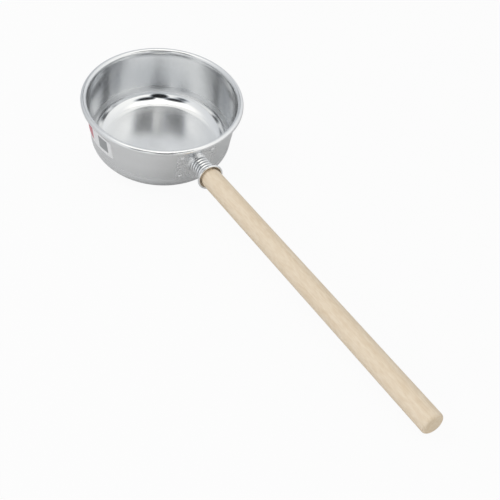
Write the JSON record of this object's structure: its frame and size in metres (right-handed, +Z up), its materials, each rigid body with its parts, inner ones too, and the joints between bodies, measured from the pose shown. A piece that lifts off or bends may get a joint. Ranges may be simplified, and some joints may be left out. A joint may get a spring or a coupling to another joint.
{
  "type": "water dipper",
  "caption": "Water dipper: round spun metal bowl with a curled rim, and a straight wooden rod handle screwed into a riveted, threaded ferrule.",
  "frame": {"origin": "middle of the whole dipper's length and width, on the table that it lies on", "axes": "+Z up from the table, +X along the handle towards its free end; the plane Y = 0 cuts the bowl and the handle in two equal halves"},
  "size_m": [0.514, 0.162, 0.0878],
  "materials": {
    "spun_aluminium": "satin, spun and lightly polished",
    "pressed_aluminium": "bright, pressed",
    "rivet_aluminium": "bright, headed",
    "cypress": "sanded, unfinished, fine straight grain",
    "label_paper": "coated paper with one plain red and one plain grey panel"
  },
  "bodies": {
    "root": {"bowl": "spun_aluminium", "ferrule": "pressed_aluminium", "rivets": "rivet_aluminium", "handle": "cypress", "label": "label_paper"}
  },
  "joints": []
}
